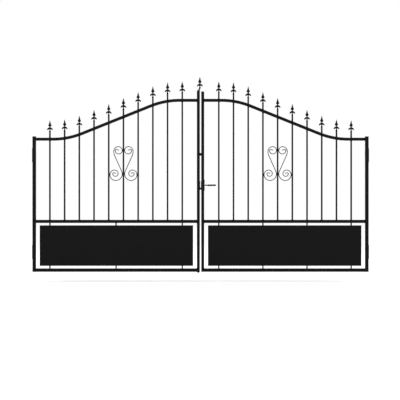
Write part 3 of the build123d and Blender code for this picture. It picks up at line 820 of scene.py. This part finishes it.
def dress_cad_nodes():
    """Gives every CAD node its finish and breaks its sharp edges."""
    for part in frame["record"]["subparts"]:
        node = nodes[part["node"]]
        slot = part["material_slot"]
        node.data.materials.clear()
        node.data.materials.append(SLOT_MATERIALS[slot])
        weld = node.modifiers.new("join_split_vertices", "WELD")
        weld.merge_threshold = MERGE_DISTANCE
        if slot in ARRIS:
            bevel = node.modifiers.new("broken_edges", "BEVEL")
            bevel.width = ARRIS[slot]
            bevel.segments = 2
            bevel.limit_method = "ANGLE"
            bevel.angle_limit = math.radians(ARRIS_ANGLE)


# ---- Stage ---------------------------------------------------------------------------------
CAMERA_DISTANCE = 14.0
CAMERA_X = 1.7026
CAMERA_Z = 0.5266
CAMERA_SIGHT = 200              # how far it sees
FIELD_WIDTH = 4.048             # what the picture's width takes in at the leaves' plane
SENSOR = 36.0
WORLD_LIGHT = 0.55              # what the object gets of the white backdrop
FLOOR_HALF_SIZE = 30.0
FLOOR_COLOUR = (0.86, 0.86, 0.86, 1)
FLOOR_GLOW_NEAR = 0.3           # low enough that the shadow under the gate still shows
FLOOR_GLOW_FAR = 0.6
FLOOR_GLOW_RISE = (3.0, 9.0)    # distances from the gate's middle between which it rises
LIGHT_TARGET_Z = 0.7
# Name, place from the camera's X and the leaves' plane, size and watts.
LIGHTS = (
    ("key", (-4.5, -6.0, 6.5), (5, 4), 420),
    ("fill", (6.0, -5.0, 4.0), (5, 4), 200),
    ("back", (1.0, 6.5, 6.0), (7, 4), 300),
)


def add_camera():
    data = bpy.data.cameras.new("camera")
    data.sensor_width = SENSOR
    data.lens = SENSOR * CAMERA_DISTANCE / FIELD_WIDTH
    data.clip_end = CAMERA_SIGHT
    camera = bpy.data.objects.new("camera", data)
    camera.location = (CAMERA_X, PLANE_Y - CAMERA_DISTANCE, CAMERA_Z)
    camera.rotation_euler = (math.radians(90), 0, 0)
    bpy.context.scene.collection.objects.link(camera)
    bpy.context.scene.camera = camera


def add_world():
    """White where it is seen, and a softer light on the object."""
    world = bpy.data.worlds.new("studio")
    bpy.context.scene.world = world
    made = Nodes(world)
    background = made.tree.nodes["Background"]
    set_inputs(background, {"Color": WHITE})
    strength = made.ramp(made.seen_directly(), 0.0, 1.0, WORLD_LIGHT, 1.0)
    made.link(strength, background.inputs["Strength"])


def floor_material(centre):
    """Pale, with a glow that meets the white backdrop further out."""
    material, made, shader = new_material(
        "floor",
        Base_Color=FLOOR_COLOUR,
        Roughness=0.9,
        Specular_IOR_Level=0.1,
        Emission_Color=WHITE,
    )
    away = made.add("ShaderNodeVectorMath", operation="DISTANCE")
    made.link(made.add("ShaderNodeNewGeometry").outputs["Position"], away.inputs[0])
    away.inputs[1].default_value = centre
    level = made.ramp(away.outputs["Value"], *FLOOR_GLOW_RISE, FLOOR_GLOW_NEAR, FLOOR_GLOW_FAR)
    glow = made.maths("MULTIPLY", made.seen_directly(), level)
    made.link(glow, shader.inputs["Emission Strength"])
    return material


def add_floor():
    """A plain floor that keeps the gate's shadow."""
    stile = middle("left_closing_stile")
    centre = Vector((stile.x, stile.y, GROUND_Z))
    mesh = bmesh.new()
    corners = [FLOOR_HALF_SIZE * (x * X + y * Y) for x, y in ((-1, -1), (1, -1), (1, 1), (-1, 1))]
    mesh.faces.new([mesh.verts.new(centre + corner) for corner in corners])
    data = bpy.data.meshes.new("floor")
    mesh.to_mesh(data)
    mesh.free()
    data.materials.append(floor_material(centre))
    floor = bpy.data.objects.new("floor", data)
    bpy.context.scene.collection.objects.link(floor)


def add_lights():
    """Plain soft studio light: a key, a fill and a light from behind and above."""
    target = Vector((CAMERA_X, PLANE_Y, LIGHT_TARGET_Z))
    for name, (x, y, z), size, power in LIGHTS:
        data = bpy.data.lights.new(name, "AREA")
        data.shape = "RECTANGLE"
        data.size, data.size_y = size
        data.energy = power
        light = bpy.data.objects.new(name, data)
        light.location = Vector((CAMERA_X + x, PLANE_Y + y, z))
        light.rotation_euler = (target - light.location).to_track_quat("-Z", "Y").to_euler()
        bpy.context.scene.collection.objects.link(light)


dress_cad_nodes()
for side in SIDES:
    bar_welds(side)
    frame_welds(side)
    panel_welds(side)
    scroll_welds(side)
    fitting_welds(side)
    bracket_welds(side)
    spearheads(side)
centre_spear()
cover_furniture()
plate_screws()
add_camera()
add_world()
add_floor()
add_lights()
bpy.context.scene.view_settings.view_transform = "Standard"
